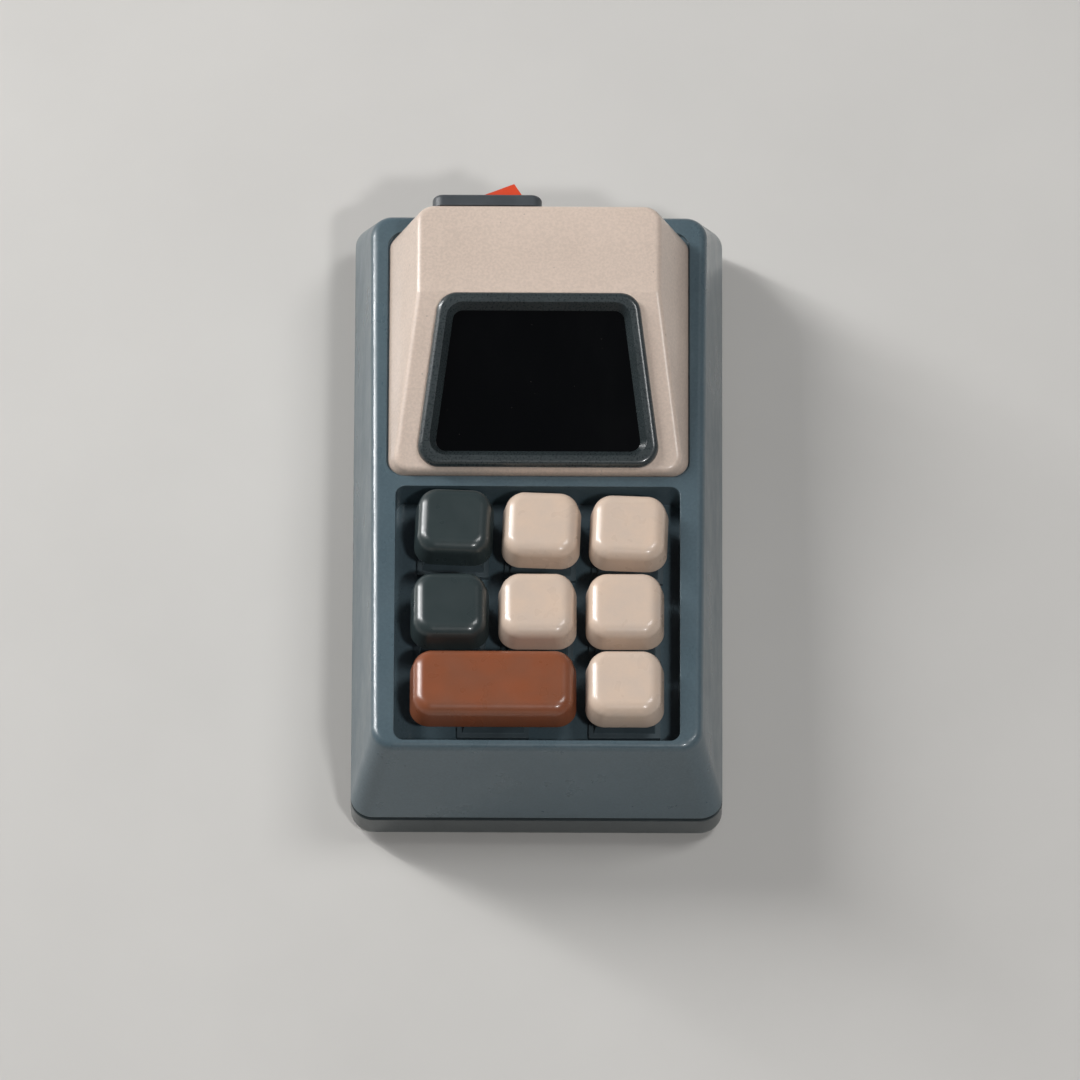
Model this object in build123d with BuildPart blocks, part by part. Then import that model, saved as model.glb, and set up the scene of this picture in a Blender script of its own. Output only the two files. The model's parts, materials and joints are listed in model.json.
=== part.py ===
from build123d import *
import os
from math import atan, cos, degrees, radians, sin, tan

# A chunky hand-held digital assistant, lying on its back.
# X runs across the body, Y runs from the chin to the switch end, Z points out of the back.
# The origin is the centre of the footprint, on the surface that the rubber feet stand on.

os.makedirs("parts", exist_ok=True)

# Body
body_width = 81.0
body_length = 144.0
body_draft = 10.5           # lean of the two sides and the chin, degrees
end_draft = 20.4            # lean of the wall at the switch end, degrees
body_corner = 5.0
body_edge = 1.8             # rounding where the face meets the side walls
wall = 2.6
inner_corner = 3.0
face_plate = 4.0
face_tilt = 2.5             # the face falls towards the switch end, degrees
face_height = 33.5          # height of the face plane above the footprint, at its zero line
face_shift = -2.0           # where the face's zero line lies along the body
foot_height = 1.0
cover_height = 8.0
cover_floor = 2.0
cover_edge = 2.5
cover_wall = 2.4
cover_inner_corner = 2.6
cover_top = foot_height + cover_height
cover_inside = foot_height + cover_floor
shadow_gap = 1.5
housing_bottom = cover_top + shadow_gap
lip_inset = 3.4
lip_thickness = 1.3
lip_root = 3.0              # how far the lip's foot reaches down inside the cover
lip_corner = 2.6
lip_inner_corner = 1.3
lip_top = housing_bottom + 1.5

# Key well, keys and switches, measured along the face
key_pitch = 19.05
row_one_shift = (0.8, 1.0)  # the first row stands a little off the grid and turned
row_one_turn = -2.1
well_width = 62.1
well_length = 62.7
well_center = -32.2
well_corner = 2.2
well_depth = 8.4
floor_thickness = 1.5
collar = 2.2
collar_overlap = 0.5
switch_cutout = 14.0
switch_lip = 15.6
switch_lip_height = 1.0
switch_body = 13.8
switch_depth = 5.0
switch_shoulder = 13.4
switch_crown = (10.8, 10.0)
switch_top = 6.6
peg_radius = 2.0
pin_radius = 0.7
pin_length = 3.0
pin_places = [(-3.81, 2.54), (2.54, 5.08)]
stem_width = 7.0
stem_length = 5.6
stem_play = 0.2
stem_foot_width = 8.6
stem_foot_height = 1.2
stem_foot_top = 1.8
stem_travel_room = 3.8      # depth of the hollow below the well floor
stem_roof = 2.0             # underside of the switch's top, above the well floor
stem_shoulder = 6.2
cross_length = 4.0
cross_width = 1.2
cross_height = 4.4
cap_base = 7.0              # height of the skirt above the well floor, key up
cap_size = 17.2
cap_top_size = 15.2
cap_height = 6.5
cap_corner = 4.3
cap_edge = 2.8
cap_skirt_edge = 0.4
cap_wall = 1.3
cap_hollow_corner = 3.6
cap_hollow_taper = 12.0
cap_roof = 2.0
socket_radius = 2.75
socket_setback = 0.3
socket_root = 0.5
socket_play = 0.1
spring_radius = 1.9
spring_wire = 0.2
spring_turns = 5
spring_gap = 0.02
spring_length = stem_travel_room + stem_foot_top - stem_foot_height - 2 * (spring_wire + spring_gap)
keypad_board_size = 60.0
keypad_board_corner = 2.0
pin_hole_play = 0.1

# Display hood
hood_width = 65.0           # across its foot, level with the face
hood_top_width = 53.0
hood_bottom = 1.9
hood_end = 62.6
hood_height = 13.0
hood_lip = 2.0              # height of the low edge next to the keys
crest = 40.5                # where the flat top breaks into the screen slope
hood_wall = 2.4
hood_corner = 4.0
hood_edge = 1.5
hood_seat = 0.8
hood_seat_corner = 3.7
hood_gap = 0.25
hood_side_play = 0.2
hood_screw_columns = 27.2
hood_screw_rows = (15.0, 55.0)
hood_post_radius = 2.5
hood_post_heights = (4.0, 5.8)
hood_screw_bore = 3.2
face_opening = (49.2, 56.0)
face_opening_corner = 2.0
face_opening_center = 30.5

# Window in the screen slope
window_top = 37.0
window_bottom = 45.2
window_length = 31.5
window_center = 0.2
window_corner = 2.2
lens_rim = 1.0
lens_corner = 2.6
lens_play = 0.1
bezel_rim = 3.8
bezel_corner = 4.6
bezel_height = 1.9
bezel_edge = 1.3
bezel_flare = 30.0
bezel_overshoot = 0.1
neck_rim = 2.4
neck_corner = 3.4
neck_play = 0.2
neck_opening_corner = 3.6
lens_front = -0.6
lens_thickness = 1.5
gasket_thickness = 0.5
gasket_outer_rim = 2.2
gasket_inner_rim = 0.4
gasket_corner = 3.2
gasket_inner_corner = 2.4
gasket_play = 0.05
lcd_size = (47.0, 34.8, 2.6)
lcd_center = 0.6
lcd_corner = 0.5
board_thickness = 1.6
display_board_size = (48.0, 43.8)
display_board_center = 1.6
display_board_corner = 1.5
display_screw_rows = ((17.0, -18.6), (19.0, 21.3))
display_post_radius = 1.7
display_post_height = 4.0
display_screw_bore = 3.0
socket_size = (14.0, 4.0, 2.0)

# Rocker switch in the hood's end wall
rocker_x = -11.4
rocker_level = 6.3
flange_size = (24.0, 12.2)
flange_thickness = 3.0
flange_corner = 2.4
flange_edge = 1.0
barrel_size = (20.8, 10.2)
barrel_depth = 13.0
barrel_play = 0.3
barrel_relief = 1.5         # room behind the barrel, cut through the hood's wall
rocker_reach = 9.0          # the arc that the ends of the rocker's foot follow
rocker_half = 8.0           # length of each half's surface
rocker_end_flare = 8.0
rocker_width = 8.0
rocker_lean = 11.5          # half of the angle between the two settings
rocker_face = 3.7           # distance from the pivot to each half's surface
rocker_clearance = 0.3
rocker_below = 1.0
rocker_slot_depth = 4.0     # how far the slot reaches behind the hood's end wall
pivot_radius = 1.0
pivot_reach = 0.7
pivot_bore = 0.8
pivot_play = 0.05
terminal_size = (4.7, 0.8, 5.0)
terminal_spacing = 9.0
terminal_level = 3.6

# Electronics and fasteners
board_level = 13.0
main_board_size = (56.0, 57.0)
main_board_center = 37.5
main_board_corner = 2.0
board_post_inset = 4.0
board_post_radius = 2.8
battery_size = (50.0, 56.0, 8.0)
battery_center = -31.0
battery_corner = 1.5
battery_edge = 1.2
battery_play = 0.4
fence_thickness = 1.2
fence_height = 4.0
fence_opening = 20.0
fence_reach = 4.5
pad_thickness = 0.6
pad_inset = 3.0
boss_radius = 3.2
boss_play = 0.4
boss_place = (34.0, 61.5)
boss_foot = cover_inside + 2.5
boss_top = 24.0
boss_bore = 10.0
insert_radius = 1.9
insert_length = 5.5
screw_radius = 1.2
screw_bite = 0.05
screw_clearance = 1.4
screw_head_radius = 2.2
screw_head_height = 1.6
screw_head_edge = 0.6
screw_head_play = 0.4
screw_head_sink = 2.2
drive_length = 2.2
drive_width = 0.5
drive_corner = 0.2
drive_depth = 0.9
case_screw_length = 8.0
board_screw_length = 6.0
hood_screw_length = 6.0
display_screw_length = 4.0
foot_radius = 5.0
foot_play = 0.1
foot_edge = 0.4
foot_recess = 0.6
foot_place = (27.0, 54.0)
processor_size = (18.0, 25.5, 3.1)
processor_corner = 0.8
processor_place = (12.0, 40.0)
port_x = 14.0
port_size = (8.9, 3.2, 7.4)
port_setback = 3.2
port_mouth_rim = 0.5
port_mouth_depth = 7.5
port_shell = 0.35
port_tongue = (6.7, 0.7)
port_back = 1.0
port_back_play = 0.2
header_size = (12.0, 5.0, 6.0)
battery_header = (-14.0, 13.0)
switch_header_y = 33.0
wire_radius = 0.8
wire_bend = 4.0
wire_spacing = 2.0
battery_lead_levels = (8.0, 26.0)
battery_lead_run = 7.0
wire_gap = 0.05
pin_gap = 0.02
ribbon_x = 6.0
ribbon_width = 9.0
ribbon_thickness = 0.3
ribbon_y = 20.0
ribbon_slack = 1.2
ribbon_bend = 2.0
ribbon_levels = (25.0, 28.0, 31.0)


def on_face(x, y, n, pitch=0.0, turn=0.0):
    """A plane fixed to the face: x across, y up the face, n out of it, then pitched about X or turned."""
    return Plane(face_plane.location * Location((x, y, n), (pitch, 0, turn)))


def outward(plane):
    """The axis along a plane's normal, used to sort faces."""
    return Axis(plane.origin, plane.z_dir)


def rises(edge):
    """True for an edge that runs out of the face rather than along it."""
    return abs((edge @ 1 - edge @ 0).normalized().dot(face_plane.z_dir)) > 0.8


def write(part, name):
    """Give a finished piece its name and write it as a STEP file."""
    part.part.label = name
    export_step(part.part, f"parts/{name}.step")


def tapered_block(inset):
    """The body's block with its leaning walls, every wall moved inwards by inset."""
    side_lean = block_height * tan(radians(body_draft))
    end_lean = block_height * tan(radians(end_draft))
    with BuildPart() as block:
        with BuildSketch(Plane.XY.offset(housing_bottom)):
            Rectangle(body_width - 2 * inset, body_length - 2 * inset)
        with BuildSketch(Plane.XY.offset(housing_bottom + block_height)):
            with Locations((0, (side_lean - end_lean) / 2)):
                Rectangle(
                    body_width - 2 * side_lean - 2 * inset,
                    body_length - side_lean - end_lean - 2 * inset,
                )
        loft(ruled=True)
    return block.part


def window_outline(plane, rim, corner):
    """The window's rounded trapezoid on a plane, widened by rim on every side."""
    half = window_length / 2
    with BuildSketch(plane) as outline:
        with BuildLine():
            Polyline(
                (-window_bottom / 2, window_center - half),
                (window_bottom / 2, window_center - half),
                (window_top / 2, window_center + half),
                (-window_top / 2, window_center + half),
                close=True,
            )
        make_face()
        if rim > 0:
            offset(amount=rim, kind=Kind.INTERSECTION)
        fillet(outline.vertices(), corner)
    return outline.sketch


def screws(planes, length, name):
    """Pan-head screws in one node: each head sits on its plane's outer side, its shank goes down from it."""
    with BuildPart() as group:
        for plane in planes:
            with BuildSketch(plane):
                Circle(screw_head_radius)
            extrude(amount=screw_head_height)
            fillet(group.faces(Select.LAST).sort_by(outward(plane))[-1].edges(), screw_head_edge)
            with BuildSketch(plane.offset(screw_head_height)):
                RectangleRounded(drive_length, drive_width, drive_corner)
                RectangleRounded(drive_width, drive_length, drive_corner)
            extrude(amount=-drive_depth, mode=Mode.SUBTRACT)
            with BuildSketch(plane):
                Circle(screw_radius)
            extrude(amount=-length)
    write(group, name)


def wires(starts, turns, ends, name):
    """Round wires in one node, each from its start through its turning points to its end."""
    with BuildPart() as bundle:
        for start, turn, end in zip(starts, turns, ends):
            with BuildLine() as route:
                FilletPolyline(start, *turn, end, radius=wire_bend)
            with BuildSketch(Plane(origin=start, z_dir=route.line % 0)):
                Circle(wire_radius)
            sweep(path=route.line)
    write(bundle, name)


face_plane = Plane(
    origin=(0, face_shift, face_height),
    x_dir=(1, 0, 0),
    z_dir=(0, sin(radians(face_tilt)), cos(radians(face_tilt))),
)
slope_rise = (hood_height - hood_lip) / (crest - hood_bottom)
slope_angle = degrees(atan(slope_rise))
slope_plane = on_face(0, (hood_bottom + crest) / 2, (hood_lip + hood_height) / 2, slope_angle)
lens_plane = slope_plane.offset(lens_front)
gasket_plane = lens_plane.offset(-lens_thickness)
panel_plane = gasket_plane.offset(-gasket_thickness)
display_board_plane = panel_plane.offset(-lcd_size[2])
display_rear_plane = display_board_plane.offset(-board_thickness)
hood_length = hood_end - hood_bottom
hood_center = (hood_end + hood_bottom) / 2
hood_lean = (hood_width - hood_top_width) / 2 / hood_height
hood_seat_width = hood_width + 2 * hood_seat * hood_lean
block_height = 40.0
tall_edge = 12.0
corners = [(-1, -1), (1, -1), (-1, 1), (1, 1)]
boss_places = [(side * boss_place[0], end * boss_place[1]) for side, end in corners]
foot_places = [(side * foot_place[0], end * foot_place[1]) for side, end in corners]
board_post_places = [
    (
        side * (main_board_size[0] / 2 - board_post_inset),
        main_board_center + end * (main_board_size[1] / 2 - board_post_inset),
    )
    for side, end in corners
]
hood_screw_places = [(side * hood_screw_columns, y) for y in hood_screw_rows for side in (-1, 1)]
display_screw_places = [(side * x, y) for x, y in display_screw_rows for side in (-1, 1)]
board_top = Plane.XY.offset(board_level + board_thickness)
header_top = board_level + board_thickness + header_size[2]
port_level = board_level + board_thickness + port_size[1] / 2
well_floor = -well_depth
switch_bottom = well_floor - switch_depth

# Every key: its name, its centre across and along the face, its cap's width in key pitches, its turn
keys = []
for column in range(3):
    step = (column - 1) * key_pitch
    key_x = row_one_shift[0] + step * cos(radians(row_one_turn))
    key_y = well_center + key_pitch + row_one_shift[1] + step * sin(radians(row_one_turn))
    keys.append((f"r1c{column + 1}", key_x, key_y, 1, row_one_turn))
    keys.append((f"r2c{column + 1}", step, well_center, 1, 0.0))
keys.append(("r3c1", -key_pitch / 2, well_center - key_pitch, 2, 0.0))
keys.append(("r3c3", key_pitch, well_center - key_pitch, 1, 0.0))

# ---------------------------------------------------------------- front housing

with BuildPart() as housing_cavity:
    add(tapered_block(wall))
    split(bisect_by=on_face(0, 0, -face_plate), keep=Keep.BOTTOM)
    fillet(housing_cavity.edges().filter_by(lambda edge: edge.bounding_box().size.Z > tall_edge), inner_corner)

with BuildPart() as front_housing:
    add(tapered_block(0))
    split(bisect_by=face_plane, keep=Keep.BOTTOM)
    fillet(front_housing.edges().filter_by(lambda edge: edge.bounding_box().size.Z > tall_edge), body_corner)
    fillet(front_housing.faces().sort_by(outward(face_plane))[-1].edges(), body_edge)
    add(housing_cavity.part, mode=Mode.SUBTRACT)
    # Collar and floor of the key well, up to just inside the face plate
    with BuildSketch(on_face(0, well_center, well_floor - floor_thickness)):
        Rectangle(well_width + 2 * collar, well_length + collar)
    extrude(amount=well_depth + floor_thickness - face_plate + collar_overlap)
    with BuildSketch(on_face(0, well_center, well_floor)):
        RectangleRounded(well_width, well_length, well_corner)
    extrude(amount=well_depth + 1, mode=Mode.SUBTRACT)
    with BuildSketch(face_plane.offset(well_floor)):
        for _, x, y, _, turn in keys:
            with Locations((x, y)):
                Rectangle(switch_cutout, switch_cutout, rotation=turn)
    extrude(amount=-floor_thickness, mode=Mode.SUBTRACT)
    # Shallow seat for the display hood, with an opening for the display and the wires
    with BuildSketch(on_face(0, hood_center, -hood_seat)):
        RectangleRounded(hood_seat_width + 2 * hood_gap, hood_length + 2 * hood_gap, hood_seat_corner)
    extrude(amount=hood_seat + 1, mode=Mode.SUBTRACT)
    with BuildSketch(face_plane):
        with Locations((0, face_opening_center)):
            RectangleRounded(face_opening[0], face_opening[1], face_opening_corner)
        with Locations(hood_screw_places):
            Circle(screw_clearance)
    extrude(amount=-face_plate - 1, mode=Mode.SUBTRACT)
    # Corner bosses, which stand on the back cover and hold the brass inserts
    with BuildSketch(Plane.XY.offset(boss_foot)):
        with Locations(boss_places):
            Circle(boss_radius)
    extrude(amount=boss_top - boss_foot)
    with BuildSketch(Plane.XY.offset(boss_foot)):
        with Locations(boss_places):
            Circle(screw_clearance)
    extrude(amount=boss_bore, mode=Mode.SUBTRACT)
    with BuildSketch(Plane.XY.offset(boss_foot)):
        with Locations(boss_places):
            Circle(insert_radius)
    extrude(amount=insert_length, mode=Mode.SUBTRACT)
    # Mouth of the charging port
    with BuildSketch(Plane.XZ.offset(-body_length / 2 - 1)):
        with Locations((port_x, port_level)):
            SlotOverall(port_size[0] + 2 * port_mouth_rim, port_size[1] + 2 * port_mouth_rim)
    extrude(amount=port_mouth_depth, mode=Mode.SUBTRACT)
write(front_housing, "front_housing")

# ---------------------------------------------------------------- back cover

cover_bay = (body_width - 2 * cover_wall, body_length - 2 * cover_wall)
lip_outside = (body_width - 2 * lip_inset, body_length - 2 * lip_inset)
lip_inside = (lip_outside[0] - 2 * lip_thickness, lip_outside[1] - 2 * lip_thickness)

with BuildPart() as back_cover:
    with BuildSketch(Plane.XY.offset(foot_height)):
        RectangleRounded(body_width, body_length, body_corner)
    extrude(amount=cover_height)
    fillet(back_cover.faces().sort_by(Axis.Z)[0].edges(), cover_edge)
    with BuildSketch(Plane.XY.offset(cover_inside)):
        RectangleRounded(cover_bay[0], cover_bay[1], cover_inner_corner)
    extrude(amount=cover_height, mode=Mode.SUBTRACT)
    # Locating lip, which rises inside the front housing and closes the shadow gap
    with BuildSketch(Plane.XY.offset(cover_top - lip_root)):
        RectangleRounded(cover_bay[0], cover_bay[1], cover_inner_corner)
        RectangleRounded(lip_inside[0], lip_inside[1], lip_inner_corner, mode=Mode.SUBTRACT)
    extrude(amount=lip_root)
    with BuildSketch(Plane.XY.offset(cover_top)):
        RectangleRounded(lip_outside[0], lip_outside[1], lip_corner)
        RectangleRounded(lip_inside[0], lip_inside[1], lip_inner_corner, mode=Mode.SUBTRACT)
    extrude(amount=lip_top - cover_top)
    with BuildSketch(Plane.XY.offset(boss_foot)):
        with Locations(boss_places):
            Circle(boss_radius + boss_play)
    extrude(amount=block_height, mode=Mode.SUBTRACT)
    # Screw seats under the corner bosses
    with BuildSketch(Plane.XY.offset(cover_inside)):
        with Locations(boss_places):
            Circle(boss_radius)
    extrude(amount=boss_foot - cover_inside)
    with BuildSketch(Plane.XY.offset(foot_height)):
        with Locations(boss_places):
            Circle(screw_clearance)
    extrude(amount=boss_foot, mode=Mode.SUBTRACT)
    with BuildSketch(Plane.XY.offset(foot_height)):
        with Locations(boss_places):
            Circle(screw_head_radius + screw_head_play)
    extrude(amount=screw_head_sink, mode=Mode.SUBTRACT)
    # Posts for the main board
    with BuildSketch(Plane.XY.offset(cover_inside)):
        with Locations(board_post_places):
            Circle(board_post_radius)
            Circle(screw_radius + screw_bite, mode=Mode.SUBTRACT)
    extrude(amount=board_level - cover_inside)
    # Low frame round the battery
    fence_inside = (battery_size[0] + 2 * battery_play, battery_size[1] + 2 * battery_play)
    with BuildSketch(Plane.XY.offset(cover_inside)):
        with Locations((0, battery_center)):
            Rectangle(fence_inside[0] + 2 * fence_thickness, fence_inside[1] + 2 * fence_thickness)
            Rectangle(fence_inside[0], fence_inside[1], mode=Mode.SUBTRACT)
            Rectangle(fence_opening, battery_size[1] + 2 * fence_reach, mode=Mode.SUBTRACT)
    extrude(amount=fence_height)
    with BuildSketch(Plane.XY.offset(foot_height)):
        with Locations(foot_places):
            Circle(foot_radius + foot_play)
    extrude(amount=foot_recess, mode=Mode.SUBTRACT)
write(back_cover, "back_cover")

with BuildPart() as rubber_feet:
    with BuildSketch():
        with Locations(foot_places):
            Circle(foot_radius)
    extrude(amount=foot_height + foot_recess)
    fillet(rubber_feet.faces().group_by(Axis.Z)[0].edges(), foot_edge)
write(rubber_feet, "rubber_feet")

with BuildPart() as case_inserts:
    with BuildSketch(Plane.XY.offset(boss_foot)):
        with Locations(boss_places):
            Circle(insert_radius)
            Circle(screw_radius, mode=Mode.SUBTRACT)
    extrude(amount=insert_length)
write(case_inserts, "case_inserts")

case_screw_seat = Plane((0, 0, foot_height + screw_head_sink), x_dir=(1, 0, 0), z_dir=(0, 0, -1))
case_screw_planes = [Plane(case_screw_seat.location * Location((x, y, 0))) for x, y in boss_places]
board_screw_planes = [Plane(board_top.location * Location((x, y, 0))) for x, y in board_post_places]
hood_screw_planes = [on_face(x, y, -face_plate, 180) for x, y in hood_screw_places]
display_screw_planes = [
    Plane(display_rear_plane.location * Location((x, y, 0), (180, 0, 0))) for x, y in display_screw_places
]
screws(case_screw_planes, case_screw_length, "case_screws")
screws(board_screw_planes, board_screw_length, "board_screws")
screws(hood_screw_planes, hood_screw_length, "hood_screws")
screws(display_screw_planes, display_screw_length, "display_screws")

# ---------------------------------------------------------------- display hood

with BuildPart() as hood_cavity:
    with BuildSketch(on_face(0, hood_center, -hood_seat)):
        Rectangle(hood_seat_width - 2 * hood_wall - 2 * hood_side_play, hood_length - 2 * hood_wall)
    with BuildSketch(on_face(0, hood_center, hood_height - hood_wall)):
        roof_width = hood_top_width + 2 * hood_wall * hood_lean
        Rectangle(roof_width - 2 * hood_wall - 2 * hood_side_play, hood_length - 2 * hood_wall)
    loft(ruled=True)
    split(bisect_by=slope_plane.offset(-hood_wall), keep=Keep.BOTTOM)

with BuildPart() as display_hood:
    with BuildSketch(on_face(0, hood_center, -hood_seat)):
        Rectangle(hood_seat_width, hood_length)
    with BuildSketch(on_face(0, hood_center, hood_height)):
        Rectangle(hood_top_width, hood_length)
    loft(ruled=True)
    fillet(display_hood.edges().filter_by(rises), hood_corner)
    split(bisect_by=slope_plane, keep=Keep.BOTTOM)
    seat_face = display_hood.faces().sort_by(outward(face_plane))[0]
    upper_edges = display_hood.edges().filter_by(rises, reverse=True) - seat_face.edges()
    fillet(upper_edges, hood_edge)
    add(hood_cavity.part, mode=Mode.SUBTRACT)
    # Pillars for the screws that come up through the housing
    for x, y in hood_screw_places:
        with BuildSketch(on_face(x, y, -hood_seat)):
            Circle(hood_post_radius)
        extrude(amount=hood_post_heights[0] if y < crest else hood_post_heights[1])
        with BuildSketch(on_face(x, y, -hood_seat)):
            Circle(screw_radius + screw_bite)
        extrude(amount=hood_screw_bore, mode=Mode.SUBTRACT)
    # Posts for the display board
    with BuildSketch(display_board_plane):
        with Locations(display_screw_places):
            Circle(display_post_radius)
    extrude(amount=display_post_height)
    with BuildSketch(display_board_plane):
        with Locations(display_screw_places):
            Circle(screw_radius + screw_bite)
    extrude(amount=display_screw_bore, mode=Mode.SUBTRACT)
    # Opening for the bezel's neck
    neck_opening = window_outline(panel_plane.offset(-gasket_play), neck_rim + neck_play, neck_opening_corner)
    extrude(neck_opening, amount=hood_wall * 2, mode=Mode.SUBTRACT)
    # Cutout for the rocker switch
    with BuildSketch(on_face(rocker_x, hood_end + 1, rocker_level, -90)):
        Rectangle(barrel_size[0] + barrel_play, barrel_size[1] + barrel_play)
    extrude(amount=-barrel_depth - barrel_relief, mode=Mode.SUBTRACT)
write(display_hood, "display_hood")

with BuildPart() as display_bezel:
    extrude(window_outline(slope_plane, bezel_rim, bezel_corner), amount=bezel_height)
    fillet(display_bezel.faces().sort_by(outward(slope_plane))[-1].edges(), bezel_edge)
    extrude(window_outline(slope_plane, neck_rim, neck_corner), amount=lens_front - lens_thickness)
    bezel_rise = bezel_height - lens_front + bezel_overshoot
    window_cut = window_outline(lens_plane, 0, window_corner)
    extrude(window_cut, amount=bezel_rise, taper=-bezel_flare, mode=Mode.SUBTRACT)
    lens_pocket = window_outline(lens_plane, lens_rim + lens_play, lens_corner)
    extrude(lens_pocket, amount=-lens_thickness, mode=Mode.SUBTRACT)
write(display_bezel, "display_bezel")

with BuildPart() as display_lens:
    extrude(window_outline(lens_plane, lens_rim, lens_corner), amount=-lens_thickness)
write(display_lens, "display_lens")

with BuildPart() as display_gasket:
    extrude(window_outline(gasket_plane, gasket_outer_rim, gasket_corner), amount=-gasket_thickness)
    gasket_hole = window_outline(gasket_plane, gasket_inner_rim, gasket_inner_corner)
    extrude(gasket_hole, amount=-gasket_thickness, mode=Mode.SUBTRACT)
write(display_gasket, "display_gasket")

with BuildPart() as display_panel:
    with BuildSketch(panel_plane):
        with Locations((0, lcd_center)):
            RectangleRounded(lcd_size[0], lcd_size[1], lcd_corner)
    extrude(amount=-lcd_size[2])
write(display_panel, "display_panel")

with BuildPart() as display_board:
    with BuildSketch(display_rear_plane):
        with Locations((0, display_board_center)):
            RectangleRounded(display_board_size[0], display_board_size[1], display_board_corner)
        with Locations(display_screw_places):
            Circle(screw_clearance, mode=Mode.SUBTRACT)
    extrude(amount=board_thickness)
write(display_board, "display_board")

with BuildPart() as display_socket:
    with BuildSketch(display_rear_plane):
        with Locations((ribbon_x, 0)):
            Rectangle(socket_size[0], socket_size[1])
    extrude(amount=-socket_size[2])
write(display_socket, "display_socket")

# ---------------------------------------------------------------- keys

for key, x, y, width, turn in keys:
    floor_plane = on_face(x, y, well_floor, turn=turn)

    with BuildPart() as key_switch:
        with BuildSketch(floor_plane):
            Rectangle(switch_lip, switch_lip)
        extrude(amount=switch_lip_height)
        with BuildSketch(floor_plane.offset(switch_lip_height)):
            Rectangle(switch_shoulder, switch_shoulder)
        with BuildSketch(floor_plane.offset(switch_top)):
            Rectangle(switch_crown[0], switch_crown[1])
        loft(ruled=True)
        with BuildSketch(floor_plane):
            Rectangle(switch_body, switch_body)
        extrude(amount=-switch_depth)
        with BuildSketch(floor_plane.offset(-stem_travel_room)):
            Rectangle(stem_foot_width + 2 * stem_play, stem_length + 2 * stem_play)
        extrude(amount=stem_travel_room + stem_roof, mode=Mode.SUBTRACT)
        with BuildSketch(floor_plane):
            Rectangle(stem_width + 2 * stem_play, stem_length + 2 * stem_play)
        extrude(amount=switch_top, mode=Mode.SUBTRACT)
        # Centre peg and solder pins
        with BuildSketch(floor_plane.offset(-switch_depth)):
            Circle(peg_radius)
            with Locations(pin_places):
                Circle(pin_radius)
        extrude(amount=-pin_length)
    write(key_switch, f"key_switch_{key}")

    with BuildPart() as key_stem:
        with BuildSketch(floor_plane.offset(stem_foot_top - stem_foot_height)):
            Rectangle(stem_foot_width, stem_length)
        extrude(amount=stem_foot_height)
        with BuildSketch(floor_plane.offset(stem_foot_top)):
            Rectangle(stem_width, stem_length)
        extrude(amount=stem_shoulder - stem_foot_top)
        with BuildSketch(floor_plane.offset(stem_shoulder)):
            Rectangle(cross_length, cross_width)
            Rectangle(cross_width, cross_length)
        extrude(amount=cross_height)
    write(key_stem, f"key_stem_{key}")

    with BuildPart() as keycap:
        stretch = (width - 1) * key_pitch
        skirt_plane = floor_plane.offset(cap_base)
        with BuildSketch(skirt_plane):
            Rectangle(cap_size + stretch, cap_size)
        with BuildSketch(skirt_plane.offset(cap_height)):
            Rectangle(cap_top_size + stretch, cap_top_size)
        loft(ruled=True)
        fillet(keycap.edges().filter_by(rises), cap_corner)
        fillet(keycap.faces().sort_by(outward(face_plane))[-1].edges(), cap_edge)
        fillet(keycap.faces().sort_by(outward(face_plane))[0].edges(), cap_skirt_edge)
        # Hollow underside with the socket for the stem
        with BuildSketch(skirt_plane):
            RectangleRounded(cap_size + stretch - 2 * cap_wall, cap_size - 2 * cap_wall, cap_hollow_corner)
        extrude(amount=cap_height - cap_roof, taper=cap_hollow_taper, mode=Mode.SUBTRACT)
        with BuildSketch(skirt_plane.offset(socket_setback)):
            Circle(socket_radius)
        extrude(amount=cap_height - cap_roof + socket_root)
        with BuildSketch(skirt_plane):
            Rectangle(cross_length + socket_play, cross_width + socket_play)
            Rectangle(cross_width + socket_play, cross_length + socket_play)
        extrude(amount=stem_shoulder + cross_height - cap_base + socket_play, mode=Mode.SUBTRACT)
    write(keycap, f"keycap_{key}")

    with BuildPart() as key_spring:
        with BuildLine(floor_plane.offset(-stem_travel_room + spring_wire + spring_gap)):
            coil = Helix(pitch=spring_length / spring_turns, height=spring_length, radius=spring_radius)
        with BuildSketch(Plane(origin=coil @ 0, z_dir=coil % 0)):
            Circle(spring_wire)
        sweep(path=coil)
    write(key_spring, f"key_spring_{key}")

with BuildPart() as keypad_board:
    with BuildSketch(on_face(0, well_center, switch_bottom)):
        RectangleRounded(keypad_board_size, keypad_board_size, keypad_board_corner)
    extrude(amount=-board_thickness)
    for _, x, y, _, turn in keys:
        with BuildSketch(on_face(x, y, switch_bottom, turn=turn)):
            Circle(peg_radius + pin_hole_play)
            with Locations(pin_places):
                Circle(pin_radius + pin_hole_play)
        extrude(amount=-board_thickness, mode=Mode.SUBTRACT)
write(keypad_board, "keypad_board")

# ---------------------------------------------------------------- rocker switch

lean = radians(rocker_lean)
vee_bottom = rocker_face / cos(lean)
tip_x = rocker_half * cos(lean) - rocker_face * sin(lean)
tip_y = rocker_half * sin(lean) + rocker_face * cos(lean)
foot_x = tip_x + (tip_y + rocker_below) * tan(lean + radians(rocker_end_flare))
pivot = on_face(rocker_x, hood_end, rocker_level)
swing_plane = Plane(pivot.location * Location((0, 0, 0), (0, 0, rocker_lean)))

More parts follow.
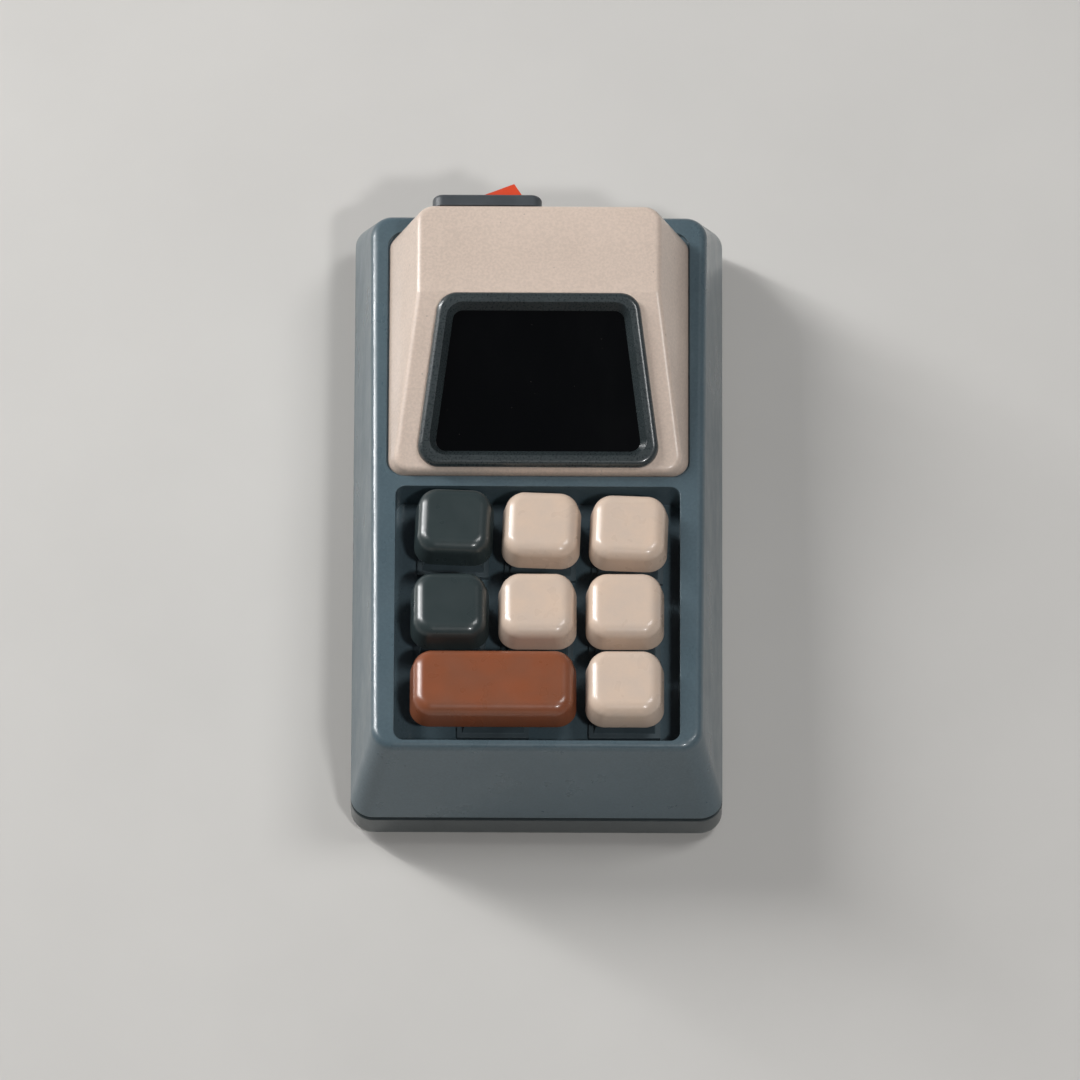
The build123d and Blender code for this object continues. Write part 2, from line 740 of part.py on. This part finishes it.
with BuildPart() as power_switch:
    end_plane = on_face(rocker_x, hood_end, rocker_level, -90)
    with BuildSketch(end_plane):
        RectangleRounded(flange_size[0], flange_size[1], flange_corner)
    extrude(amount=flange_thickness)
    fillet(power_switch.faces().sort_by(outward(end_plane))[-1].edges(), flange_edge)
    with BuildSketch(end_plane):
        Rectangle(barrel_size[0], barrel_size[1])
    extrude(amount=-barrel_depth)
    with BuildSketch(end_plane.offset(flange_thickness)):
        Rectangle(2 * (rocker_reach + rocker_clearance), rocker_width + 2 * rocker_clearance)
    extrude(amount=-flange_thickness - rocker_slot_depth, mode=Mode.SUBTRACT)
    with BuildSketch(pivot):
        Circle(pivot_radius + pivot_play)
    extrude(amount=rocker_width / 2 + pivot_bore, both=True, mode=Mode.SUBTRACT)
write(power_switch, "power_switch")

with BuildPart() as power_rocker:
    with BuildSketch(swing_plane):
        Circle(rocker_reach)
        # The shallow vee between the two halves, and their flared ends
        with BuildLine():
            Polyline(
                (0, vee_bottom),
                (tip_x, tip_y),
                (foot_x, -rocker_below),
                (-foot_x, -rocker_below),
                (-tip_x, tip_y),
                close=True,
            )
        make_face(mode=Mode.INTERSECT)
    extrude(amount=rocker_width / 2, both=True)
    with BuildSketch(pivot):
        Circle(pivot_radius)
    extrude(amount=rocker_width / 2 + pivot_reach, both=True)
write(power_rocker, "power_rocker")

terminal_plane = on_face(rocker_x, hood_end - barrel_depth, terminal_level, -90)
with BuildPart() as switch_terminals:
    with BuildSketch(terminal_plane):
        with Locations((-terminal_spacing / 2, 0), (terminal_spacing / 2, 0)):
            Rectangle(terminal_size[0], terminal_size[1])
    extrude(amount=-terminal_size[2])
write(switch_terminals, "switch_terminals")

# ---------------------------------------------------------------- electronics

with BuildPart() as battery_pad:
    with BuildSketch(Plane.XY.offset(cover_inside)):
        with Locations((0, battery_center)):
            Rectangle(battery_size[0] - 2 * pad_inset, battery_size[1] - 2 * pad_inset)
    extrude(amount=pad_thickness)
write(battery_pad, "battery_pad")

with BuildPart() as battery:
    with BuildSketch(Plane.XY.offset(cover_inside + pad_thickness)):
        with Locations((0, battery_center)):
            RectangleRounded(battery_size[0], battery_size[1], battery_corner)
    extrude(amount=battery_size[2])
    fillet(battery.edges().group_by(Axis.Z)[-1] + battery.edges().group_by(Axis.Z)[0], battery_edge)
write(battery, "battery")

with BuildPart() as main_board:
    with BuildSketch(Plane.XY.offset(board_level)):
        with Locations((0, main_board_center)):
            RectangleRounded(main_board_size[0], main_board_size[1], main_board_corner)
        with Locations(board_post_places):
            Circle(screw_clearance, mode=Mode.SUBTRACT)
    extrude(amount=board_thickness)
write(main_board, "main_board")

with BuildPart() as processor_module:
    with BuildSketch(board_top):
        with Locations(processor_place):
            RectangleRounded(processor_size[0], processor_size[1], processor_corner)
    extrude(amount=processor_size[2])
write(processor_module, "processor_module")

port_front = body_length / 2 - port_setback
with BuildPart() as charging_port:
    with BuildSketch(Plane.XZ.offset(-port_front)):
        with Locations((port_x, port_level)):
            SlotOverall(port_size[0], port_size[1])
            SlotOverall(port_size[0] - 2 * port_shell, port_size[1] - 2 * port_shell, mode=Mode.SUBTRACT)
            SlotOverall(port_tongue[0], port_tongue[1])
    extrude(amount=port_size[2])
    with BuildSketch(Plane.XZ.offset(-port_front + port_size[2] - port_back)):
        with Locations((port_x, port_level)):
            SlotOverall(port_size[0] - 2 * port_back_play, port_size[1] - 2 * port_back_play)
    extrude(amount=port_back)
write(charging_port, "charging_port")

with BuildPart() as wire_headers:
    with BuildSketch(board_top):
        with Locations(battery_header, (rocker_x, switch_header_y), (ribbon_x, ribbon_y)):
            Rectangle(header_size[0], header_size[1])
    extrude(amount=header_size[2])
write(wire_headers, "wire_headers")

lug = terminal_plane.offset(-terminal_size[2] - wire_gap).origin
switch_wire_xs = [rocker_x + side * terminal_spacing / 2 for side in (-1, 1)]
wires(
    [(x, lug.Y, lug.Z) for x in switch_wire_xs],
    [[(x, switch_header_y, lug.Z)] for x in switch_wire_xs],
    [(x, switch_header_y, header_top + pin_gap) for x in switch_wire_xs],
    "switch_wires",
)

battery_end = battery_center + battery_size[1] / 2
lead_turn = battery_end + battery_lead_run
low, high = battery_lead_levels
battery_wire_xs = [battery_header[0] + side * wire_spacing for side in (-1, 1)]
wires(
    [(x, battery_end + wire_gap, low) for x in battery_wire_xs],
    [[(x, lead_turn, low), (x, lead_turn, high), (x, battery_header[1], high)] for x in battery_wire_xs],
    [(x, battery_header[1], header_top + pin_gap) for x in battery_wire_xs],
    "battery_lead",
)

with BuildPart() as display_ribbon:
    with BuildSketch(Plane(origin=(ribbon_x, 0, 0), x_dir=(0, 1, 0), z_dir=(1, 0, 0))):
        with BuildLine():
            FilletPolyline(
                (ribbon_y, header_top + pin_gap),
                (ribbon_y, ribbon_levels[0]),
                (ribbon_y + ribbon_slack, ribbon_levels[1]),
                (ribbon_y + ribbon_slack, ribbon_levels[2]),
                radius=ribbon_bend,
            )
        trace(line_width=ribbon_thickness)
    extrude(amount=ribbon_width / 2, both=True)
write(display_ribbon, "display_ribbon")
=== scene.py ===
import json
import math

import bpy
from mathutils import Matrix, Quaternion, Vector


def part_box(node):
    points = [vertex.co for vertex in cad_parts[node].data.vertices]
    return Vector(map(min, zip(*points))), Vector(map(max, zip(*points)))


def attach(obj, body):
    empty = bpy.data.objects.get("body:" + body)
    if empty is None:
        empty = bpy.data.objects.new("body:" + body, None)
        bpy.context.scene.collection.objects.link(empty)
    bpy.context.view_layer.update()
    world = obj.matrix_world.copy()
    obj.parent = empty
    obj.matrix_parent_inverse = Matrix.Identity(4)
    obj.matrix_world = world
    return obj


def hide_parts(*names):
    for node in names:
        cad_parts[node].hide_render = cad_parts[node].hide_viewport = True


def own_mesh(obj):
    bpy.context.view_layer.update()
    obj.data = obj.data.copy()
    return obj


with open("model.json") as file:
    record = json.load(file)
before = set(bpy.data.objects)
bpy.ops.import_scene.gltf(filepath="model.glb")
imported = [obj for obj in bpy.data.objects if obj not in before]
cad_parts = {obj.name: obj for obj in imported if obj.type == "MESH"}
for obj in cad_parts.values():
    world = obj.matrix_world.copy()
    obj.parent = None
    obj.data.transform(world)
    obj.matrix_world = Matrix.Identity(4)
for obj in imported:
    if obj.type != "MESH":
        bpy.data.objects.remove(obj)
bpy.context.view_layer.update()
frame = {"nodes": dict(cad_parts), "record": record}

MM = 0.001
MIX_A, MIX_B, MIX_RESULT = 6, 7, 2        # a Mix node's colour sockets, which share their names
BEVEL_SAMPLES = 4
NOISE_LOW, NOISE_HIGH = 0.3, 0.7          # most of a noise texture lies between these


def paint(red, green, blue):
    """An sRGB colour, 0 to 255 a channel, as linear RGBA."""
    def linear(value):
        share = value / 255
        return share / 12.92 if share <= 0.04045 else ((share + 0.055) / 1.055) ** 2.4
    return (linear(red), linear(green), linear(blue), 1.0)


def tinted(colour, gain):
    """A colour made lighter or darker."""
    return tuple(min(1.0, channel * gain) for channel in colour[:3]) + (1.0,)


class Finish:
    """A Principled material whose colour, gloss and relief come from noise fixed to the part."""

    def __init__(self, name):
        self.material = bpy.data.materials.new(name)
        self.material.use_nodes = True
        self.tree = self.material.node_tree
        self.shader = self.tree.nodes["Principled BSDF"]
        self.place = self.node("ShaderNodeTexCoord").outputs["Object"]

    def node(self, kind, **inputs):
        made = self.tree.nodes.new(kind)
        for socket, value in inputs.items():
            self.feed(made.inputs[socket.replace("_", " ")], value)
        return made

    def feed(self, socket, value):
        if isinstance(value, bpy.types.NodeSocket):
            self.tree.links.new(value, socket)
        else:
            socket.default_value = value

    def set(self, **inputs):
        for socket, value in inputs.items():
            self.feed(self.shader.inputs[socket.replace("_", " ")], value)

    def noise(self, size_mm, detail=3.0, roughness=0.55, stretch=(1, 1, 1)):
        """Cloudy noise from 0 to 1 whose features are about size_mm across."""
        place = self.node("ShaderNodeMapping", Vector=self.place, Scale=stretch).outputs["Vector"]
        made = self.node("ShaderNodeTexNoise", Vector=place, Scale=1 / (size_mm * MM), Detail=detail,
                         Roughness=roughness)
        return made.outputs["Fac"]

    def cells(self, size_mm):
        """The distance to scattered points about size_mm apart, in units of that spacing."""
        made = self.node("ShaderNodeTexVoronoi", Vector=self.place, Scale=1 / (size_mm * MM))
        return made.outputs["Distance"]

    def remap(self, value, low, high, out_low=0.0, out_high=1.0):
        made = self.node("ShaderNodeMapRange", Value=value)
        made.clamp = True
        ends = {"From Min": low, "From Max": high, "To Min": out_low, "To Max": out_high}
        for socket, number in ends.items():
            made.inputs[socket].default_value = number
        return made.outputs["Result"]

    def math(self, operation, a, b):
        made = self.node("ShaderNodeMath")
        made.operation = operation
        self.feed(made.inputs[0], a)
        self.feed(made.inputs[1], b)
        return made.outputs["Value"]

    def blend(self, share, a, b):
        """Colour a where share is 0, colour b where it is 1."""
        made = self.tree.nodes.new("ShaderNodeMix")
        made.data_type = "RGBA"
        self.feed(made.inputs["Factor"], share)
        self.feed(made.inputs[MIX_A], a)
        self.feed(made.inputs[MIX_B], b)
        return made.outputs[MIX_RESULT]

    def drift(self, size_mm, detail, dark, light):
        """A colour that wanders between two in patches about size_mm across."""
        return self.blend(self.remap(self.noise(size_mm, detail), NOISE_LOW, NOISE_HIGH), dark, light)

    def rounded(self, radius_mm):
        """The surface normal with every sharp edge eased by radius_mm."""
        made = self.node("ShaderNodeBevel", Radius=radius_mm * MM)
        made.samples = BEVEL_SAMPLES
        return made.outputs["Normal"]

    def edges(self, normal, low=0.01, high=0.12):
        """1 on the sharp edges that an eased normal leaves, 0 on flat ground."""
        plain = self.node("ShaderNodeNewGeometry").outputs["Normal"]
        dot = self.tree.nodes.new("ShaderNodeVectorMath")
        dot.operation = "DOT_PRODUCT"
        self.feed(dot.inputs[0], plain)
        self.feed(dot.inputs[1], normal)
        return self.remap(self.math("SUBTRACT", 1.0, dot.outputs["Value"]), low, high)

    def relief(self, height, depth_mm, strength=1.0, normal=None):
        made = self.node("ShaderNodeBump", Height=height, Distance=depth_mm * MM, Strength=strength)
        if normal is not None:
            self.feed(made.inputs["Normal"], normal)
        return made.outputs["Normal"]


def painted_shell(slot, colour, roughness, grain=0.35):
    """Satin paint over a printed and sanded shell: orange peel, pinholes, handling marks, rubbed edges."""
    f = Finish(slot)
    speck = f.remap(f.noise(0.6, 1.0, 0.6), 0.36, 0.66)
    pinhole = f.remap(f.cells(4.2), 0.028, 0.05)
    eased = f.rounded(0.35)
    edge = f.math("MULTIPLY", f.edges(eased), f.remap(f.noise(3.0, 4.0), 0.42, 0.66))
    tone = f.drift(26.0, 4.0, tinted(colour, 0.93), tinted(colour, 1.06))
    tone = f.blend(f.math("MULTIPLY", speck, 0.22), tone, tinted(colour, 1.5))
    tone = f.blend(f.math("MULTIPLY", edge, 0.35), tone, tinted(colour, 1.7))
    tone = f.blend(f.remap(pinhole, 0.0, 1.0, 0.45, 0.0), tone, tinted(colour, 0.3))
    smear = f.remap(f.noise(9.0, 5.0, 0.6, (1, 0.5, 1)), 0.35, 0.68, -0.05, 0.09)
    peel = f.relief(f.noise(0.8, 2.0), 0.03, grain, eased)
    fine = f.relief(f.noise(0.4, 1.0, 0.6), 0.012, grain, peel)
    f.set(Base_Color=tone, Roughness=f.math("ADD", roughness, smear), Normal=fine,
          Coat_Weight=0.35, Coat_Roughness=0.13)
    return f.material


def cast_resin(slot, colour, warm=None, roughness=0.3):
    """Semi-gloss resin of the keycaps and the rocker: a soft unevenness, fine grain and patchy polish."""
    f = Finish(slot)
    speck = f.remap(f.noise(0.55, 1.0, 0.6), 0.35, 0.7)
    tone = f.drift(7.0, 3.0, tinted(colour, 0.95), tinted(warm or colour, 1.05))
    tone = f.blend(f.math("MULTIPLY", speck, 0.07), tone, tinted(colour, 0.72))
    polish = f.remap(f.noise(5.0, 2.0), 0.35, 0.7, -0.03, 0.05)
    uneven = f.relief(f.noise(5.0, 1.0), 0.03, 0.2)
    fine = f.relief(f.noise(0.36, 1.0, 0.6), 0.008, 0.3, uneven)
    f.set(Base_Color=tone, Roughness=f.math("ADD", roughness, polish), Normal=fine,
          Coat_Weight=0.25, Coat_Roughness=0.12)
    return f.material


def textured_rim(slot, colour, roughness):
    """The bezel's dark paint, with a sandy texture that sparkles in its highlights."""
    f = Finish(slot)
    sand = f.noise(0.42, 1.0, 0.6)
    tone = f.drift(12.0, 3.0, tinted(colour, 0.85), tinted(colour, 1.12))
    tone = f.blend(f.remap(sand, 0.58, 0.75, 0.0, 0.25), tone, tinted(colour, 2.0))
    eased = f.rounded(0.25)
    dull = f.remap(sand, NOISE_LOW, NOISE_HIGH, roughness - 0.08, roughness + 0.12)
    f.set(Base_Color=tone, Roughness=dull, Normal=f.relief(sand, 0.04, 0.5, eased),
          Coat_Weight=0.6, Coat_Roughness=0.14)
    return f.material


def clear_screen(slot, colour):
    """Black gloss acrylic over a dark display, with wiped smears and dust."""
    f = Finish(slot)
    smear = f.noise(14.0, 5.0, 0.6, (1, 0.35, 1))
    dust = f.remap(f.cells(2.6), 0.02, 0.045, 1.0, 0.0)
    tone = f.blend(f.math("MULTIPLY", dust, 0.30), colour, paint(90, 84, 80))
    f.set(Base_Color=tone, Roughness=f.remap(smear, 0.3, 0.75, 0.07, 0.17),
          Normal=f.relief(f.noise(20.0, 1.0), 0.04, 0.2))
    return f.material


def plain_moulding(slot, colour, roughness=0.5, grain_mm=0.3, depth_mm=0.02):
    """Moulded plastic, film or board: a small colour drift, a fine even grain and paler edges."""
    f = Finish(slot)
    grain = f.noise(grain_mm, 3.0, 0.6)
    eased = f.rounded(0.2)
    tone = f.drift(6.0, 3.0, tinted(colour, 0.85), tinted(colour, 1.15))
    tone = f.blend(f.math("MULTIPLY", f.edges(eased), 0.25), tone, tinted(colour, 1.8))
    dull = f.remap(grain, NOISE_LOW, NOISE_HIGH, roughness - 0.07, roughness + 0.1)
    f.set(Base_Color=tone, Roughness=dull, Normal=f.relief(grain, depth_mm, 0.4, eased))
    return f.material


def bare_metal(slot, colour, roughness=0.28, stretch=(1, 1, 6)):
    """Turned, stamped or drawn metal with tool marks, and a little tarnish."""
    f = Finish(slot)
    marks = f.noise(0.5, 4.0, 0.6, stretch)
    tarnish = f.remap(f.noise(2.2, 4.0), 0.45, 0.75)
    tone = f.blend(f.math("MULTIPLY", tarnish, 0.4), colour, tinted(colour, 0.45))
    dull = f.remap(marks, NOISE_LOW, NOISE_HIGH, roughness - 0.06, roughness + 0.14)
    f.set(Base_Color=tone, Roughness=dull, Normal=f.relief(marks, 0.01, 0.35), Metallic=1.0)
    return f.material


finishes = {
    "slate_shell": painted_shell("slate_shell", paint(78, 95, 103), 0.31),
    "cover_shell": painted_shell("cover_shell", paint(62, 70, 72), 0.34),
    "tan_shell": painted_shell("tan_shell", paint(206, 188, 174), 0.34, 0.3),
    "bezel_charcoal": textured_rim("bezel_charcoal", paint(48, 56, 58), 0.30),
    "lens_black": clear_screen("lens_black", paint(3, 4, 5)),
    "cap_charcoal": cast_resin("cap_charcoal", paint(50, 60, 61)),
    "cap_beige": cast_resin("cap_beige", paint(213, 194, 178), warm=paint(214, 191, 171)),
    "cap_brown": cast_resin("cap_brown", paint(134, 82, 58), warm=paint(138, 78, 50)),
    "stem_plastic": plain_moulding("stem_plastic", paint(138, 84, 46)),
    "switch_plastic": plain_moulding("switch_plastic", paint(74, 87, 93)),
    "spring_steel": bare_metal("spring_steel", paint(196, 196, 198)),
    "foot_rubber": plain_moulding("foot_rubber", paint(34, 34, 35), 0.8, 0.25, 0.05),
    "insert_brass": bare_metal("insert_brass", paint(201, 165, 92)),
    "contact_brass": bare_metal("contact_brass", paint(205, 176, 108)),
    "screw_steel": bare_metal("screw_steel", paint(148, 149, 152), 0.32),
    "shield_steel": bare_metal("shield_steel", paint(186, 187, 189), 0.3, (6, 1, 1)),
    "foam_black": plain_moulding("foam_black", paint(28, 28, 29), 0.9, 0.6, 0.15),
    "panel_glass": plain_moulding("panel_glass", paint(24, 25, 28), 0.2, 0.3, 0.004),
    "board_laminate": plain_moulding("board_laminate", paint(28, 84, 52), 0.35, 0.5, 0.012),
    "black_plastic": plain_moulding("black_plastic", paint(28, 28, 29)),
    "switch_frame": plain_moulding("switch_frame", paint(68, 73, 77), 0.40, 0.35),
    "rocker_red": cast_resin("rocker_red", paint(216, 74, 44), roughness=0.34),
    "battery_foil": bare_metal("battery_foil", paint(190, 192, 196), 0.34, (1, 3, 1)),
    "wire_cover": plain_moulding("wire_cover", paint(150, 26, 24), 0.45),
    "ribbon_film": plain_moulding("ribbon_film", paint(190, 124, 52), 0.35),
}

for node in frame["nodes"].values():
    node.data.materials[0] = finishes[node.data.materials[0].name.split(".")[0]]


# ---------------------------------------------------------------- key springs

SPRING_RADIUS = 1.9 * MM
SPRING_WIRE = 0.2 * MM
SPRING_TURNS = 5
RINGS_PER_TURN = 28
RING_SIDES = 10


def coil_mesh(name, base, up, length):
    """A closed helical wire that starts round base and climbs along up."""
    across = Vector((1, 0, 0))
    along = up.cross(across)
    rings = SPRING_TURNS * RINGS_PER_TURN + 1
    points, faces = [], []
    for ring in range(rings):
        turn = 2 * math.pi * ring / RINGS_PER_TURN
        out = math.cos(turn) * across + math.sin(turn) * along
        centre = base + SPRING_RADIUS * out + length * ring / (rings - 1) * up
        for side in range(RING_SIDES):
            angle = 2 * math.pi * side / RING_SIDES
            points.append(centre + SPRING_WIRE * (math.cos(angle) * out + math.sin(angle) * up))
    for ring in range(rings - 1):
        for side in range(RING_SIDES):
            a = ring * RING_SIDES + side
            b = ring * RING_SIDES + (side + 1) % RING_SIDES
            faces.append((a, a + RING_SIDES, b + RING_SIDES, b))
    last = (rings - 1) * RING_SIDES
    faces.append(tuple(range(RING_SIDES)))
    faces.append(tuple(range(last + RING_SIDES - 1, last - 1, -1)))
    mesh = bpy.data.meshes.new(name)
    mesh.from_pydata(points, [], faces)
    mesh.shade_smooth()
    return mesh


def key_coil(joint):
    """The return spring under one key, built as a fixed coil in place of its CAD part."""
    key = joint["child"]
    node = key.replace("key_", "key_spring_")
    up = -Vector(joint["axis"]).normalized()
    low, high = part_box(node)
    length = (high.z - low.z - 2 * SPRING_WIRE - 2 * SPRING_RADIUS * up.y) / up.z
    base = (low + high) / 2 - up * length / 2
    coil = bpy.data.objects.new(f"{key}_coil", coil_mesh(f"{key}_coil", base, up, length))
    bpy.context.scene.collection.objects.link(coil)
    coil.data.materials.append(finishes["spring_steel"])
    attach(coil, "root")
    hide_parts(node)
    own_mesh(coil)


for joint in frame["record"]["behaviour"]["joints"]:
    if joint["type"] == "slide":
        key_coil(joint)


# ---------------------------------------------------------------- floor

FLOOR_HALF = 12.0             # metres
FLOOR_ROUGHNESS = 0.85


def floor():
    """A wide pale floor with a faintly mottled colour."""
    mesh = bpy.data.meshes.new("floor")
    mesh.from_pydata([(x * FLOOR_HALF, y * FLOOR_HALF, 0) for x, y in ((-1, -1), (1, -1), (1, 1), (-1, 1))],
                     [], [(0, 1, 2, 3)])
    made = bpy.data.objects.new("floor", mesh)
    bpy.context.scene.collection.objects.link(made)
    f = Finish("floor")
    pale = paint(205, 203, 199)
    f.set(Base_Color=f.drift(60.0, 4.0, tinted(pale, 0.97), tinted(pale, 1.02)), Roughness=FLOOR_ROUGHNESS)
    mesh.materials.append(f.material)


floor()


# ---------------------------------------------------------------- light

TARGET = Vector((0.51, -9.3, 20.0)) * MM


def softbox(name, direction, distance, size, watts, colour=(1, 1, 1)):
    """A rectangular studio light that faces the object."""
    light = bpy.data.lights.new(name, "AREA")
    light.shape = "RECTANGLE"
    light.size, light.size_y = size
    light.energy = watts
    light.color = colour
    made = bpy.data.objects.new(name, light)
    bpy.context.scene.collection.objects.link(made)
    towards = Vector(direction).normalized()
    made.location = TARGET + towards * distance
    made.rotation_euler = towards.to_track_quat("Z", "Y").to_euler()
    made.visible_camera = False


softbox("key", (-0.72, 0.45, 0.53), distance=1.2, size=(0.45, 0.8), watts=5.4)
softbox("edge_strip", (-0.74, 0.44, 0.51), distance=1.1, size=(0.07, 0.9), watts=7.0)
softbox("fill_right", (0.42, 0.16, 0.89), distance=1.6, size=(0.4, 0.5), watts=6.2)
softbox("front_fill", (0.24, -0.46, 0.85), distance=1.4, size=(0.12, 0.08), watts=5.0)
softbox("front_bounce", (-0.15, -0.95, 0.22), distance=1.5, size=(1.2, 0.4), watts=0.7,
        colour=(1.0, 0.80, 0.62))


HORIZON = (0.28, 0.285, 0.30, 1)
OVERHEAD = (0.05, 0.05, 0.055, 1)
OVERHEAD_FROM = 0.55          # height on the sky's unit ball


def sky():
    """A plain grey surround, pale at the horizon and dim overhead."""
    world = bpy.data.worlds.new("studio")
    bpy.context.scene.world = world
    world.use_nodes = True
    tree = world.node_tree
    place = tree.nodes.new("ShaderNodeTexCoord")
    split = tree.nodes.new("ShaderNodeSeparateXYZ")
    ramp = tree.nodes.new("ShaderNodeValToRGB")
    ramp.color_ramp.elements[0].position = 0.0
    ramp.color_ramp.elements[0].color = HORIZON
    ramp.color_ramp.elements[1].position = OVERHEAD_FROM
    ramp.color_ramp.elements[1].color = OVERHEAD
    tree.links.new(place.outputs["Generated"], split.inputs["Vector"])
    tree.links.new(split.outputs["Z"], ramp.inputs["Fac"])
    tree.links.new(ramp.outputs["Color"], tree.nodes["Background"].inputs["Color"])


sky()
bpy.context.scene.view_settings.view_transform = "Standard"


# ---------------------------------------------------------------- camera

VIEW_TILT = 26.0              # the camera leans this far from straight above, towards the chin
VIEW_ROLL = 0.25              # degrees about the camera's own axis
CAMERA_DISTANCE = 4.0         # metres
FRAME_WIDTH = 236.3 * MM      # what the picture spans at the object
SENSOR = 36.0                 # millimetres
CLIP_START = 0.1              # metres
CLIP_END = 100.0

camera = bpy.data.objects.new("camera", bpy.data.cameras.new("camera"))
bpy.context.scene.collection.objects.link(camera)
bpy.context.scene.camera = camera
camera.data.sensor_width = SENSOR
camera.data.lens = SENSOR * CAMERA_DISTANCE / FRAME_WIDTH
camera.data.clip_start = CLIP_START
camera.data.clip_end = CLIP_END
tilt = math.radians(VIEW_TILT)
camera.location = TARGET + CAMERA_DISTANCE * Vector((0, -math.sin(tilt), math.cos(tilt)))
camera.rotation_mode = "QUATERNION"
camera.rotation_quaternion = Quaternion((1, 0, 0), tilt) @ Quaternion((0, 0, 1), math.radians(VIEW_ROLL))
